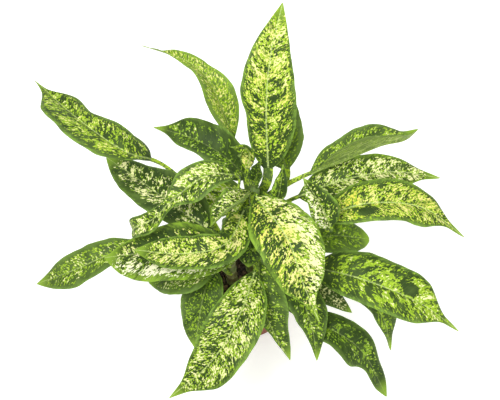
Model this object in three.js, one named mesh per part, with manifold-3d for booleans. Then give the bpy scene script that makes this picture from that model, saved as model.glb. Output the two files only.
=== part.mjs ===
// Potted dieffenbachia: a brown plastic pot, dark soil, three canes and their spotted leaves.
// Millimetres. The origin is the centre of the pot's base, +Z is up, +Y is the back, +X the right.

import * as THREE from "three";
import { mergeVertices } from "three/addons/utils/BufferGeometryUtils.js";
import Module from "manifold-3d";

// Pot
const POT_HEIGHT = 125;
const RIM_RADIUS = 75;
const BASE_RADIUS = 58;
const POT_WALL = 2.2;
const BAND_HEIGHT = 13;
const BAND_STEP = 2.4;
const LIP_STEP = 0.8;
const EDGE = 1;
const FLOOR_TOP = 4;
const RECESS_INNER = 41;
const RECESS_OUTER = 50;
const RECESS_DEPTH = 1.6;
const POT_SIDES = 48;
const DRAIN_HOLES = 8;
const DRAIN_RADIUS = 3.2;
const DRAIN_SIDES = 10;
const NOTCH_WIDTH = 6;

// Soil
const GAP = 0.3;
const SOIL_TOP = 108;
const SOIL_RINGS = 8;
const SOIL_SIDES = POT_SIDES / 2;
const SOIL_EDGE_DROP = 4;
const SOIL_FOOT_INSET = 3;
const SOIL_FOOT_RISE = 2;
const SOIL_ROUGHNESS = 1.6;
const BROAD_BUMPS = [0.31, 0.12, 0.27, -0.1];
const SMALL_BUMPS = [0.63, -0.5];

// Canes: each stands straight in the soil and then leans a little. Radii at the foot and at the top.
const CANE_FOOT = 30;
const CANE_SIDES = 12;
const FIRST_SCAR = 116;
const SCAR_SPACING = 19;
const TOP_MARGIN = 4;
const SCAR_FLARE = 0.9;
const SCAR_STEP = 0.8;
const CANES = {
  back: { line: [[6, 12, CANE_FOOT], [6, 12, 110], [8, 20, 220], [10, 26, 338]], radius: [9.5, 7] },
  left: { line: [[-24, -8, CANE_FOOT], [-24, -8, 110], [-28, -8, 200], [-30, -4, 302]], radius: [9, 6.5] },
  right: { line: [[28, -12, CANE_FOOT], [28, -12, 110], [33, -14, 200], [40, -12, 292]], radius: [9, 6.5] },
};

// Leaves
const RIB_SAMPLES = 48;
const BLADE_THICKNESS = 0.8;
const RIB_KEEL = 2.4;
const TIP_HALF_WIDTH = 0.5;
const STALK = 3;
const PETIOLE_TIP = { channel: 0.6, depth: 3.4 };
const SHEATH_FOOT = { halfWidth: 6.8, channel: 2.6, depth: 5 };
const SHEATH_SHARE = 0.85;
const PETIOLE_SINK = 3;
const PETIOLE_LEAVE = { along: 0.94, out: 0.34 };
const PETIOLE_PULL = { foot: 0.42, blade: 0.34 };
const PETIOLE_STATIONS = [0, 0.15, 0.35, 0.6, 0.85, 1];
const BLADE_STATIONS = [0.04, 0.11, 0.2, 0.3, 0.4, 0.5, 0.6, 0.7, 0.8, 0.9, 0.985];
const ACROSS = [-1, -0.5, 0, 0.5, 1];
const ENDS = [0.8, 1.02];
const CURL = [18, 18];
const WAVE = [2.5, 2.2, 0];
const RIGHT_WAVE_SHIFT = 2.5;
const WAVE_FADE = 0.6;
const EVEN = [1, 1, 1, 1, 1];
const TRIM_FIRST = 0.1;
const TRIM_STEP = 0.2;
const SLOPE_STEP = { along: 0.004, across: 0.02 };
const MERGE_DISTANCE = 1e-4;

// One row for each leaf. cane and node say where its petiole leaves; rib is the line of its midrib from
// the blade's base to its tip; fold is how far each half rises from the rib, left then right as seen
// looking along the rib from above, and curl how far it bends over, both in degrees; wave is the height
// of the edge's waves, their number and their phase; left and right scale each half's width at
// a tenth, three, five, seven and nine tenths of the way; ends are how blunt the base and the tip are;
// roll turns the blade about its midrib; stalk is half the petiole's width where the blade starts.
const LEAVES = [
  { name: "leaf_01", cane: "back", node: 298, width: 80, fold: [6, 6], wave: [1, 2.2, 0], stalk: 7,
    ends: [0.6, 1.05], left: [0.72, 0.68, 0.98, 1.02, 1], right: [1.05, 1.05, 1.03, 1.03, 1.05],
    rib: [[28, 43, 372], [25, 99, 432], [30, 150, 482], [47, 215, 520]] },
  { name: "leaf_02", cane: "back", node: 248, width: 70, fold: [12, 12], roll: -5, stalk: 6,
    left: [1, 1, 1, 0.8, 0.7], right: [1.05, 1, 0.95, 0.95, 0.9],
    rib: [[54, 68, 325], [44, 104, 370], [49, 172, 395]] },
  { name: "leaf_03", cane: "back", node: 270, width: 74, fold: [44, 30], roll: 5, wave: [5, 2.5, 1],
    left: [1.2, 1.1, 0.62, 0.24, 0.12], right: [0.95, 0.78, 0.45, 0.25, 0.1],
    rib: [[-21, 120, 322], [-40, 152, 365], [-57, 178, 388], [-80, 202, 390], [-112, 226, 380],
      [-156, 258, 356]] },
  { name: "leaf_04", cane: "left", node: 255, width: 80, fold: [4, 12], roll: -4,
    left: [0.9, 0.65, 0.52, 0.6, 0.3], right: [1, 0.83, 0.84, 0.95, 0.45],
    rib: [[2, 61, 310], [-42, 82, 348], [-88, 106, 352], [-136, 129, 338]] },
  { name: "leaf_05", cane: "left", node: 210, width: 66, fold: [8, 8], wave: [3, 2.2, 0],
    ends: [0.4, 1.02], left: [0.25, 1.15, 1.5, 1.75, 0.75], right: [1.15, 1.1, 0.85, 1.35, 0.15],
    rib: [[-141, 107, 284], [-180, 102, 319], [-250, 157, 319], [-323, 245, 284]] },
  { name: "leaf_06", cane: "left", node: 225, width: 78, fold: [10, 0], wave: [2, 2.2, 0],
    left: [1, 0.88, 0.92, 0.98, 1], right: [1.5, 1.4, 1.1, 0.85, 0.9],
    rib: [[-54, -7, 275], [-111, 35, 283], [-163, 84, 269], [-213, 134, 243]] },
  { name: "leaf_07", cane: "left", node: 285, width: 62, fold: [10, 10], wave: [3, 2.2, 0],
    left: [1.1, 1, 0.32, 0.75, 1.15], right: [1.1, 0.9, 0.3, 0.6, 0.9],
    rib: [[-18, 47, 345], [-55, 34, 368], [-98, 9, 352], [-133, -15, 328], [-159, -15, 306],
      [-166, 0, 262]] },
  { name: "leaf_08", cane: "left", node: 165, width: 60, fold: [6, 6], wave: [4, 2.2, 1.5],
    left: [0.6, 0.65, 0.9, 1.1, 1.2], right: [0.6, 0.8, 1, 1, 1],
    rib: [[-143, 3, 228], [-196, -25, 242], [-255, -44, 222], [-312, -48, 185]] },
  { name: "leaf_09", cane: "left", node: 240, width: 94, fold: [6, 6], wave: [2, 2.2, 0],
    left: [1, 1, 1.08, 1.25, 1.4], right: [1, 0.9, 0.88, 0.85, 0.85],
    rib: [[-11, -36, 262], [-89, -44, 292], [-146, -47, 288], [-205, -42, 262]] },
  { name: "leaf_10", cane: "back", node: 240, width: 66, fold: [12, 12], wave: [3, 2.2, 0],
    left: [0.9, 1, 1, 1, 1], right: [1, 0.58, 0.8, 1, 1],
    rib: [[-5, 2, 325], [-30, -57, 338], [-86, -70, 334], [-160, -48, 300]] },
  { name: "leaf_11", cane: "left", node: 180, width: 62, fold: [10, 10],
    rib: [[-50, -53, 244], [-94, -63, 246], [-144, -60, 217]] },
  { name: "leaf_12", cane: "left", node: 150, width: 62, fold: [8, 8], wave: [3, 2.2, 0],
    rib: [[-50, -32, 206], [-62, -70, 212], [-71, -100, 181], [-78, -131, 136]] },
  { name: "leaf_13", cane: "left", node: 210, width: 84, fold: [8, 8], wave: [2, 2.2, 0],
    left: [1, 1, 0.95, 1.05, 0.6], right: [1, 0.95, 0.95, 0.85, 0.4],
    rib: [[10, -64, 262], [-12, -131, 262], [-51, -186, 228], [-112, -223, 180]] },
  { name: "leaf_14", cane: "right", node: 180, width: 74, fold: [10, 28], roll: -10, wave: [1, 2.2, 0],
    left: [1, 1, 0.95, 0.75, 0.8], right: [0.6, 0.6, 0.42, 0.22, 0.15],
    rib: [[15, -40, 245], [20, -102, 240], [38, -138, 212], [61, -163, 172]] },
  { name: "leaf_15", cane: "right", node: 165, width: 58, fold: [12, 12],
    left: [1, 1, 1, 0.9, 0.8], right: [1, 0.95, 0.75, 0.55, 0.45],
    rib: [[50, -43, 225], [77, -90, 225], [93, -126, 195], [100, -159, 159]] },
  { name: "leaf_16", cane: "back", node: 320, width: 88, fold: [5, 5], wave: [1, 2.2, 0],
    left: [1, 1, 1, 0.95, 0.3], right: [1, 1.1, 1, 0.92, 0.35],
    rib: [[11, -1, 372], [52, -75, 392], [74, -129, 362], [96, -168, 325]] },
  { name: "leaf_17", cane: "right", node: 240, width: 78, fold: [6, 6],
    left: [1.3, 1.15, 1, 1.15, 0.35], right: [1, 1, 1, 1.1, 0.4],
    rib: [[87, -61, 275], [161, -94, 300], [238, -120, 280], [296, -146, 240]] },
  { name: "leaf_18", cane: "right", node: 218, width: 56, fold: [10, 10],
    left: [1, 1, 1, 1, 0.6], right: [0.8, 0.6, 0.5, 0.55, 0.45],
    rib: [[124, -71, 242], [167, -94, 245], [194, -118, 215], [206, -149, 175]] },
  { name: "leaf_19", cane: "right", node: 135, width: 62, fold: [6, 6], wave: [3, 2.2, 0],
    left: [1, 0.95, 0.9, 0.75, 1.1], right: [1, 0.85, 1.15, 0.65, 1.2],
    rib: [[74, -92, 172], [135, -123, 172], [173, -145, 142], [206, -190, 92]] },
  { name: "leaf_20", cane: "right", node: 150, width: 44, fold: [10, 10],
    right: [1, 0.8, 0.65, 0.6, 0.7],
    rib: [[69, -43, 195], [107, -71, 205], [152, -92, 180]] },
  { name: "leaf_21", cane: "right", node: 265, width: 74, fold: [8, 8],
    left: [1, 1, 0.98, 0.85, 0.35], right: [1, 0.9, 0.85, 1.15, 0.5],
    rib: [[98, -8, 320], [169, 2, 345], [245, 5, 325], [306, -24, 290]] },
  { name: "leaf_22", cane: "back", node: 225, width: 74, fold: [8, 8],
    left: [1, 0.92, 0.84, 0.8, 0.5], right: [1.5, 1.2, 1, 1, 0.6],
    rib: [[72, 34, 305], [137, 49, 328], [209, 64, 323], [277, 67, 299]] },
  { name: "leaf_23", cane: "back", node: 285, width: 78, fold: [0, 95], curl: [15, 10], roll: 8,
    wave: [4, 2.2, 0],
    left: [1, 0.9, 0.95, 1.05, 1], right: [0.5, 1, 1, 0.8, 0.6],
    rib: [[88, 50, 345], [133, 59, 366], [185, 82, 366], [220, 92, 364], [240, 109, 366]] },
  { name: "leaf_24", cane: "back", node: 302, width: 44, fold: [20, 20], roll: -10, ends: [0.6, 1.2],
    rib: [[113, -34, 345], [100, -18, 373], [74, 8, 408]] },
  { name: "leaf_25", cane: "right", node: 198, width: 62, fold: [8, 8], ends: [0.7, 0.7],
    rib: [[69, -8, 250], [124, -10, 268], [176, -5, 246]] },
  { name: "leaf_26", cane: "back", node: 288, width: 32, fold: [25, 25], wave: [4, 1.6, 1],
    right: [0.5, 0.55, 0.9, 1, 1],
    rib: [[-1, 49, 357], [3, 58, 375], [-4, 64, 390], [-24, 64, 392]] },
  { name: "leaf_27", cane: "back", node: 205, width: 42, fold: [14, 14],
    rib: [[6, -14, 290], [4, -34, 286], [0, -56, 260]] },
  { name: "leaf_28", cane: "back", node: 165, width: 74, fold: [8, 8], wave: [2, 2.2, 0],
    left: [0.7, 0.65, 0.6, 0.75, 1], right: [1.1, 1.1, 1, 1, 1],
    rib: [[-6, 52, 220], [-34, 63, 230], [-62, 55, 232], [-94, 39, 224]] },
  { name: "leaf_29", cane: "back", node: 328, width: 24, fold: [25, 25], ends: [0.4, 1], stalk: 6,
    right: [1.3, 1.5, 1.6, 1.6, 1.4],
    rib: [[9, 34, 350], [15, 38, 373], [18, 44, 394]] },
  { name: "leaf_30", cane: "back", node: 324, width: 22, fold: [25, 25], ends: [0.4, 1], stalk: 7,
    left: [1, 1, 0.9, 0.7, 0.6],
    rib: [[42, 14, 338], [46, 30, 351], [49, 53, 364]] },
  { name: "leaf_rolled", cane: "back", node: 330, width: 48, fold: [60, 15], curl: [-30, 12],
    rib: [[2, 16, 354], [-15, -12, 375], [-33, -26, 372], [-51, -38, 352]] },
];

const wasm = await Module();
wasm.setup();

const UP = new THREE.Vector3(0, 0, 1);
const radians = THREE.MathUtils.degToRad;
const mix = THREE.MathUtils.lerp;
const vector = ([x, y, z]) => new THREE.Vector3(x, y, z);
const smoothCurve = (line) => new THREE.CatmullRomCurve3(line.map(vector), false, "catmullrom");

// Closed solid from triangles, with shared corners merged and collapsed triangles left out
function solid(geometry) {
  const bare = new THREE.BufferGeometry();
  bare.setAttribute("position", geometry.getAttribute("position"));
  bare.setIndex(geometry.index);
  const merged = mergeVertices(bare, MERGE_DISTANCE);
  const corners = merged.index.array;
  const kept = [];
  for (let i = 0; i < corners.length; i += 3) {
    const [a, b, c] = corners.slice(i, i + 3);
    if (a !== b && b !== c && c !== a) kept.push(a, b, c);
  }
  return new wasm.Manifold(new wasm.Mesh({
    numProp: 3,
    vertProperties: merged.getAttribute("position").array,
    triVerts: new Uint32Array(kept),
  }));
}

// Closed skin over rings with the same number of points, which run left to right over the top and back
// underneath. Both faces are split along the same diagonals, and each end is closed by a strip.
function skin(rings) {
  const count = rings[0].length;
  const last = count / 2 - 1;
  const index = [];
  const at = (ring, point) => ring * count + (point % count);
  for (let k = 0; k < rings.length - 1; k++) {
    for (let i = 0; i < count; i++) {
      const [a, b, c, d] = [at(k, i), at(k, i + 1), at(k + 1, i + 1), at(k + 1, i)];
      if (i > last) index.push(a, b, d, b, c, d);
      else index.push(a, b, c, a, c, d);
    }
  }
  const end = rings.length - 1;
  for (let i = 0; i < last; i++) {
    const under = count - 1 - i;
    const [a, b, c, d] = [i, i + 1, under - 1, under];
    index.push(at(0, a), at(0, d), at(0, c), at(0, a), at(0, c), at(0, b));
    index.push(at(end, a), at(end, c), at(end, d), at(end, a), at(end, b), at(end, c));
  }
  const position = rings.flat().flatMap((point) => point.toArray());
  const geometry = new THREE.BufferGeometry();
  geometry.setAttribute("position", new THREE.Float32BufferAttribute(position, 3));
  geometry.setIndex(index);
  return solid(geometry);
}

function material(color, roughness) {
  return new THREE.MeshStandardMaterial({ color, roughness, metalness: 0 });
}

function mesh(body, name, surface) {
  const { vertProperties, triVerts } = body.getMesh();
  const geometry = new THREE.BufferGeometry();
  geometry.setAttribute("position", new THREE.BufferAttribute(vertProperties, 3));
  geometry.setIndex(new THREE.BufferAttribute(triVerts, 1));
  geometry.computeVertexNormals();
  const part = new THREE.Mesh(geometry, surface);
  part.name = name;
  return part;
}

// Solid of revolution about +Z from a list of radius and height
function turned(profile, sides) {
  const points = profile.map(([radius, height]) => new THREE.Vector2(radius, height));
  return solid(new THREE.LatheGeometry(points, sides).rotateX(Math.PI / 2));
}

// Tangents and carried normals along evenly spaced points, starting from the given direction
function frames(points, start) {
  const tangents = points.map((_, i) => {
    const ahead = points[Math.min(i + 1, points.length - 1)];
    const behind = points[Math.max(i - 1, 0)];
    return ahead.clone().sub(behind).normalize();
  });
  let carried = start.clone();
  const normals = tangents.map((tangent) => {
    carried = carried.clone().addScaledVector(tangent, -carried.dot(tangent)).normalize();
    return carried;
  });
  return { tangents, normals };
}

const outerRadius = (height) => mix(BASE_RADIUS, RIM_RADIUS - BAND_STEP, height / POT_HEIGHT);

function makePot() {
  const bandFoot = POT_HEIGHT - BAND_HEIGHT;
  const innerRadius = (height) => outerRadius(height) - POT_WALL;
  const shell = turned([
    [0, 0],
    [RECESS_INNER, 0],
    [RECESS_INNER + EDGE, RECESS_DEPTH],
    [RECESS_OUTER, RECESS_DEPTH],
    [RECESS_OUTER + EDGE, 0],
    [BASE_RADIUS - EDGE, 0],
    [BASE_RADIUS, EDGE],
    [outerRadius(bandFoot - EDGE), bandFoot - EDGE],
    [RIM_RADIUS - LIP_STEP, bandFoot],
    [RIM_RADIUS, bandFoot + EDGE],
    [RIM_RADIUS, POT_HEIGHT - EDGE],
    [RIM_RADIUS - LIP_STEP, POT_HEIGHT],
    [RIM_RADIUS - POT_WALL, POT_HEIGHT],
    [RIM_RADIUS - POT_WALL - LIP_STEP, POT_HEIGHT - EDGE],
    [RIM_RADIUS - POT_WALL - LIP_STEP, bandFoot + 4 * EDGE],
    [innerRadius(bandFoot), bandFoot + EDGE],
    [innerRadius(FLOOR_TOP + EDGE), FLOOR_TOP + EDGE],
    [innerRadius(FLOOR_TOP) - EDGE, FLOOR_TOP],
    [0, FLOOR_TOP],
  ], POT_SIDES);
  const drain = new THREE.CylinderGeometry(DRAIN_RADIUS, DRAIN_RADIUS, 3 * FLOOR_TOP, DRAIN_SIDES)
    .rotateX(Math.PI / 2);
  const notchLength = 2 * (BASE_RADIUS - RECESS_OUTER);
  const notch = new THREE.BoxGeometry(notchLength, NOTCH_WIDTH, 2 * RECESS_DEPTH);
  const drainPlace = (RECESS_INNER + RECESS_OUTER + EDGE) / 2;
  let pot = shell;
  for (let i = 0; i < DRAIN_HOLES; i++) {
    const turn = (2 * Math.PI * i) / DRAIN_HOLES;
    const halfStep = Math.PI / DRAIN_HOLES;
    pot = pot.subtract(solid(drain.clone().translate(drainPlace, 0, 0).rotateZ(turn)));
    pot = pot.subtract(solid(notch.clone().translate(BASE_RADIUS, 0, 0).rotateZ(turn + halfStep)));
  }
  return pot;
}

// Centre, direction and radius of a cane at a height
function caneAt(cane, height) {
  const points = smoothCurve(cane.line).getSpacedPoints(RIB_SAMPLES);
  const end = points.length - 1;
  const above = points.findIndex((point, i) => i === end || (i > 0 && point.z > height));
  const [low, high] = [points[above - 1], points[above]];
  const share = THREE.MathUtils.clamp((height - low.z) / (high.z - low.z), 0, 1);
  const along = (height - points[0].z) / (points[end].z - points[0].z);
  return {
    centre: low.clone().lerp(high, share),
    tangent: high.clone().sub(low).normalize(),
    radius: mix(cane.radius[0], cane.radius[1], along),
  };
}

// A cane with a flare below each leaf scar; grow is a clearance all round
function makeCane(cane, grow = 0) {
  const top = cane.line[cane.line.length - 1][2];
  const stations = [[CANE_FOOT - grow, 0]];
  for (let height = FIRST_SCAR; height < top - TOP_MARGIN; height += SCAR_SPACING) {
    stations.push([height, SCAR_FLARE], [height + SCAR_STEP, 0]);
  }
  stations.push([top + grow, -EDGE]);
  const rings = stations.map(([height, flare]) => {
    const { centre, tangent, radius } = caneAt(cane, height);
    const side = new THREE.Vector3(1, 0, 0).addScaledVector(tangent, -tangent.x).normalize();
    const front = side.clone().cross(tangent);
    centre.z = height;
    return Array.from({ length: CANE_SIDES }, (_, i) => {
      const turn = Math.PI - (2 * Math.PI * i) / CANE_SIDES;
      const reach = radius + flare + grow;
      return centre.clone()
        .addScaledVector(side, reach * Math.cos(turn))
        .addScaledVector(front, reach * Math.sin(turn));
    });
  });
  return skin(rings);
}

// Soil: fills the pot up to an uneven top, with a plain hole for each cane
function makeSoil() {
  const outer = SOIL_TOP - SOIL_EDGE_DROP;
  const wall = (height) => outerRadius(height) - POT_WALL - GAP;
  const [p, q, r, s] = BROAD_BUMPS;
  const [t, u] = SMALL_BUMPS;
  const bumps = (x, y) => SOIL_ROUGHNESS
    * (Math.sin(p * x + q * y) * Math.cos(r * y + s * x) + 0.5 * Math.sin(t * x + u * y));
  const position = [];
  const index = [];
  const foot = FLOOR_TOP + GAP;
  const ring = (radius, height) => {
    for (let i = 0; i < SOIL_SIDES; i++) {
      const turn = (2 * Math.PI * i) / SOIL_SIDES;
      const [x, y] = [radius * Math.cos(turn), radius * Math.sin(turn)];
      position.push(x, y, height(x, y));
    }
  };
  ring(wall(foot) - SOIL_FOOT_INSET, () => foot);
  ring(wall(foot + SOIL_FOOT_RISE), () => foot + SOIL_FOOT_RISE);
  ring(wall(outer), () => outer);
  for (let k = 1; k < SOIL_RINGS; k++) {
    const share = 1 - k / SOIL_RINGS;
    ring(wall(outer) * share, (x, y) => mix(SOIL_TOP, outer, share ** 3) + bumps(x, y) * (1 - share ** 6));
  }
  const count = position.length / 3 / SOIL_SIDES;
  const bottom = position.length / 3;
  position.push(0, 0, foot);
  position.push(0, 0, SOIL_TOP);
  for (let k = 0; k < count - 1; k++) {
    for (let i = 0; i < SOIL_SIDES; i++) {
      const next = (i + 1) % SOIL_SIDES;
      const [a, b] = [k * SOIL_SIDES + i, k * SOIL_SIDES + next];
      const [c, d] = [b + SOIL_SIDES, a + SOIL_SIDES];
      index.push(a, b, c, a, c, d);
    }
  }
  for (let i = 0; i < SOIL_SIDES; i++) {
    const next = (i + 1) % SOIL_SIDES;
    const last = (count - 1) * SOIL_SIDES;
    index.push(bottom, next, i);
    index.push(bottom + 1, last + i, last + next);
  }
  const geometry = new THREE.BufferGeometry();
  geometry.setAttribute("position", new THREE.Float32BufferAttribute(position, 3));
  geometry.setIndex(index);
  let soil = solid(geometry);
  for (const cane of Object.values(CANES)) soil = soil.subtract(makeCane(cane, GAP));
  return soil;
}

// Half-width of a blade at a share of its length, before its own trim
function outline(share, [base, tip]) {
  const widest = base / (base + tip);
  return (share / widest) ** base * ((1 - share) / (1 - widest)) ** tip;
}

function trim(values, share) {
  const last = values.length - 1;
  const place = THREE.MathUtils.clamp((share - TRIM_FIRST) / TRIM_STEP, 0, last);
  const index = Math.min(Math.floor(place), last - 1);
  return mix(values[index], values[index + 1], THREE.MathUtils.smoothstep(place - index, 0, 1));
}

// The blade's upper face: a point at a share of its length and across it, -1 left edge, 1 right edge
function bladeSurface(leaf) {
  const points = smoothCurve(leaf.rib).getSpacedPoints(RIB_SAMPLES);
  const { tangents, normals } = frames(points, UP);
  const roll = radians(leaf.roll ?? 0);
  const [waveHeight, waveCount, wavePhase] = leaf.wave ?? WAVE;
  const ends = leaf.ends ?? ENDS;
  const rolled = normals.map((normal, i) => normal.clone().applyAxisAngle(tangents[i], roll));

  function section(share, across) {
    const side = across < 0 ? 0 : 1;
    const fold = radians(leaf.fold[side]);
    const curl = radians((leaf.curl ?? CURL)[side]);
    const cut = trim((side === 0 ? leaf.left : leaf.right) ?? EVEN, share);
    const least = mix(leaf.stalk ?? STALK, TIP_HALF_WIDTH, share);
    const half = Math.hypot((leaf.width / 2) * outline(share, ends) * cut, least);
    const bend = (2 * curl) / half;
    const reach = half * Math.abs(across);
    const start = fold + curl;
    const end = start - bend * reach;
    const lateral = (Math.sin(start) - Math.sin(end)) / bend;
    const swell = Math.sin(Math.PI * share) ** WAVE_FADE;
    const phase = wavePhase + side * RIGHT_WAVE_SHIFT;
    const ripple = waveHeight * across ** 2 * Math.sin(2 * Math.PI * waveCount * share + phase) * swell;
    return { lateral: Math.sign(across) * lateral, lift: (Math.cos(end) - Math.cos(start)) / bend + ripple };
  }

  function frameAt(share) {
    const place = share * RIB_SAMPLES;
    const index = Math.min(Math.floor(place), RIB_SAMPLES - 1);
    const part = place - index;
    const tangent = tangents[index].clone().lerp(tangents[index + 1], part).normalize();
    const normal = rolled[index].clone().lerp(rolled[index + 1], part).normalize();
    const side = tangent.clone().cross(normal).normalize();
    return { centre: points[index].clone().lerp(points[index + 1], part), tangent, normal, side };
  }

  function place(share, across) {
    const { centre, normal, side } = frameAt(share);
    const { lateral, lift } = section(share, across);
    return centre.addScaledVector(side, lateral).addScaledVector(normal, lift);
  }

  function normalAt(share, across) {
    const { along: du, across: ds } = SLOPE_STEP;
    const along = place(share + du, across).sub(place(share - du, across));
    const right = place(share, Math.min(across + ds, 1)).sub(place(share, Math.max(across - ds, -1)));
    return right.cross(along).normalize();
  }

  return { frameAt, place, normalAt };
}

function petioleRing(centre, normal, side, { halfWidth, channel, depth }) {
  const above = ACROSS.map((across) => centre.clone()
    .addScaledVector(side, across * halfWidth)
    .addScaledVector(normal, -channel * (1 - across ** 2)));
  const below = ACROSS.map((across) => centre.clone()
    .addScaledVector(side, across * halfWidth)
    .addScaledVector(normal, -EDGE - (depth - EDGE) * Math.sqrt(1 - across ** 2)));
  return [...above, ...below.reverse()];
}

// A leaf: its petiole leaves the cane along a smooth curve and grows into the blade, all one skin.
// The foot is cut to the cane's form, and shreds beyond the cane are left out.
function makeLeaf(leaf) {
  const blade = bladeSurface(leaf);
  const base = blade.frameAt(0);
  const cane = caneAt(CANES[leaf.cane], leaf.node);
  const out = base.centre.clone().sub(cane.centre);
  out.addScaledVector(cane.tangent, -out.dot(cane.tangent)).normalize();
  const start = cane.centre.clone().addScaledVector(out, cane.radius - PETIOLE_SINK);
  const span = start.distanceTo(base.centre);
  const leave = out.clone().multiplyScalar(PETIOLE_LEAVE.out)
    .addScaledVector(cane.tangent, PETIOLE_LEAVE.along);
  const petiole = new THREE.CubicBezierCurve3(
    start,
    start.clone().addScaledVector(leave, span * PETIOLE_PULL.foot),
    base.centre.clone().addScaledVector(base.tangent, -span * PETIOLE_PULL.blade),
    base.centre,
  );
  const points = petiole.getSpacedPoints(RIB_SAMPLES).reverse();
  const { tangents, normals } = frames(points, base.normal);
  const rings = PETIOLE_STATIONS.map((share) => {
    const index = Math.round((1 - share) * RIB_SAMPLES);
    const swell = 1 - THREE.MathUtils.smoothstep(share, 0, SHEATH_SHARE);
    const side = normals[index].clone().cross(tangents[index]).normalize();
    return petioleRing(points[index], normals[index], side, {
      halfWidth: mix(leaf.stalk ?? STALK, SHEATH_FOOT.halfWidth, swell),
      channel: mix(PETIOLE_TIP.channel, SHEATH_FOOT.channel, swell),
      depth: mix(PETIOLE_TIP.depth, SHEATH_FOOT.depth, swell),
    });
  });
  for (const share of BLADE_STATIONS) {
    const above = ACROSS.map((across) => blade.place(share, across));
    const below = ACROSS.map((across, i) => {
      const keel = across === 0 ? RIB_KEEL * (1 - share) : 0;
      return above[i].clone().addScaledVector(blade.normalAt(share, across), -BLADE_THICKNESS - keel);
    });
    rings.push([...above, ...below.reverse()]);
  }
  const bodies = skin(rings).subtract(makeCane(CANES[leaf.cane], GAP)).decompose();
  return bodies.sort((a, b) => b.volume() - a.volume())[0];
}

const plant = new THREE.Group();
const potPlastic = material(0x70402f, 0.55);
const soilBark = material(0x2c1d15, 0.95);
const caneBark = material(0x7c8a4a, 0.6);
const leafGreen = material(0x7fa63f, 0.45);

plant.add(mesh(makePot(), "pot", potPlastic));
plant.add(mesh(makeSoil(), "soil", soilBark));
for (const [place, cane] of Object.entries(CANES)) {
  plant.add(mesh(makeCane(cane), `cane_${place}`, caneBark));
}
for (const leaf of LEAVES) plant.add(mesh(makeLeaf(leaf), leaf.name, leafGreen));

export default plant;
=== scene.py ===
# Looks of a potted dieffenbachia: spotted leaves on green canes, dark soil and a brown plastic pot.
# Leaf, cane and pot sizes are in millimetres and are turned into metres where a mesh is made.

import math
import random
from dataclasses import dataclass

import bmesh
import bpy
import numpy as np
from mathutils import Matrix, Vector, noise


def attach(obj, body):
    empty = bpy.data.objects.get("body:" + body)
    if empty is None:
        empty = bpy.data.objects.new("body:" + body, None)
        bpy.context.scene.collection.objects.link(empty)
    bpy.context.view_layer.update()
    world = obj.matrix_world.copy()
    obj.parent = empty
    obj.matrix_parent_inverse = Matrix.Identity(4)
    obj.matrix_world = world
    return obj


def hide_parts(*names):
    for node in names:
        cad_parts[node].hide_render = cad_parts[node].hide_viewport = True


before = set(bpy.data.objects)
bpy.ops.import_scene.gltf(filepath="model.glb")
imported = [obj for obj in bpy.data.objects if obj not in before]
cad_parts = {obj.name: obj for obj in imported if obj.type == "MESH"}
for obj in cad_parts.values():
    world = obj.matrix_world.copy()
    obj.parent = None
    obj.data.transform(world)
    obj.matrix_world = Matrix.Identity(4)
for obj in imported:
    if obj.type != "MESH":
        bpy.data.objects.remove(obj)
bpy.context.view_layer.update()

MM = 0.001
SQUARE = ((-0.5, -0.5), (0.5, -0.5), (0.5, 0.5), (-0.5, 0.5))

# Camera, at the photograph's angle
CAMERA_PLACE = (0.003, -0.8376, 1.9334)
CAMERA_TILT = 28
CAMERA_LENS = 93.6
CAMERA_SENSOR = 36
CAMERA_REACH = 20

# Room: the sky's strength, then each lamp's place, size and power, and the floor
SKY_STRENGTH = 0.38
LAMPS = {
    "key": ((-0.6, -0.8, 2.5), 1, 50),
    "fill": ((1.3, -0.9, 1.6), 1.6, 12),
    "back": ((0.2, 1.6, 1.9), 1.4, 14),
}
LAMP_AIM = (0, 0, 0.25)
FLOOR_SIDE = 12
FLOOR_GLOW = 0.5

# Pot, as the solid's
POT_HEIGHT = 125
RIM_RADIUS = 75
BASE_RADIUS = 58
POT_WALL = 2.2
BAND_HEIGHT = 13
BAND_STEP = 2.4
LIP_STEP = 0.8
FLOOR_TOP = 4
RECESS_INNER = 41
RECESS_OUTER = 50
RECESS_DEPTH = 1.6
DRAIN_HOLES = 8
DRAIN_RADIUS = 3.2
NOTCH_WIDTH = 6
POT_SIDES = 128
POT_EDGE = 1.2
POT_SHARP = 35

# Soil
SOIL_TOP = 108
SOIL_EDGE_DROP = 4
SOIL_GAP = 0.3
SOIL_BEVEL = (2.7, 2)
SOIL_SIDES = 144
SOIL_RINGS = 60
SOIL_ROUGHNESS = 1.6
SOIL_LUMPS = 1.5
LUMP_DENSITY = 0.16

# Bark chips, sized in shares of their length
CHIPS = 900
CHIP_SEED = 11
CHIP_LENGTH = (3, 9)
CHIP_SHORTENED = (0.5, 1)
CHIP_WIDTH = (0.35, 0.7)
CHIP_HEIGHT = (0.15, 0.4)
CHIP_CORNER = (0.65, 1.1)
CHIP_LEAN = 0.45
CHIP_ROLL = 0.35
CHIP_REST = 0.35
CHIP_EDGE_GAP = 4
CHIP_CANE_GAP = 12

# Canes, as the solids': points of the axis, then the radius at the foot and at the top
CANE_FOOT = 30
CANES = {
    "back": ([(6, 12, CANE_FOOT), (6, 12, 110), (8, 20, 220), (10, 26, 338)], (9.5, 7)),
    "left": ([(-24, -8, CANE_FOOT), (-24, -8, 110), (-28, -8, 200), (-30, -4, 302)], (9, 6.5)),
    "right": ([(28, -12, CANE_FOOT), (28, -12, 110), (33, -14, 200), (40, -12, 292)], (9, 6.5)),
}
CANE_SIDES = 40
CANE_RINGS = 220
CANE_DOME = 1.5
CANE_WANDER = 0.25
FIRST_SCAR = 116
LAST_SCAR_GAP = 4
SCAR_SPACING = 19
SCAR_SLANT = 1.6
SCAR_TURN = 2.4
SCAR_LENGTH = 2.6
SCAR_FLARE = 0.9
FLARE_LENGTH = 4
FLARE_LIP = 0.6

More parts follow.
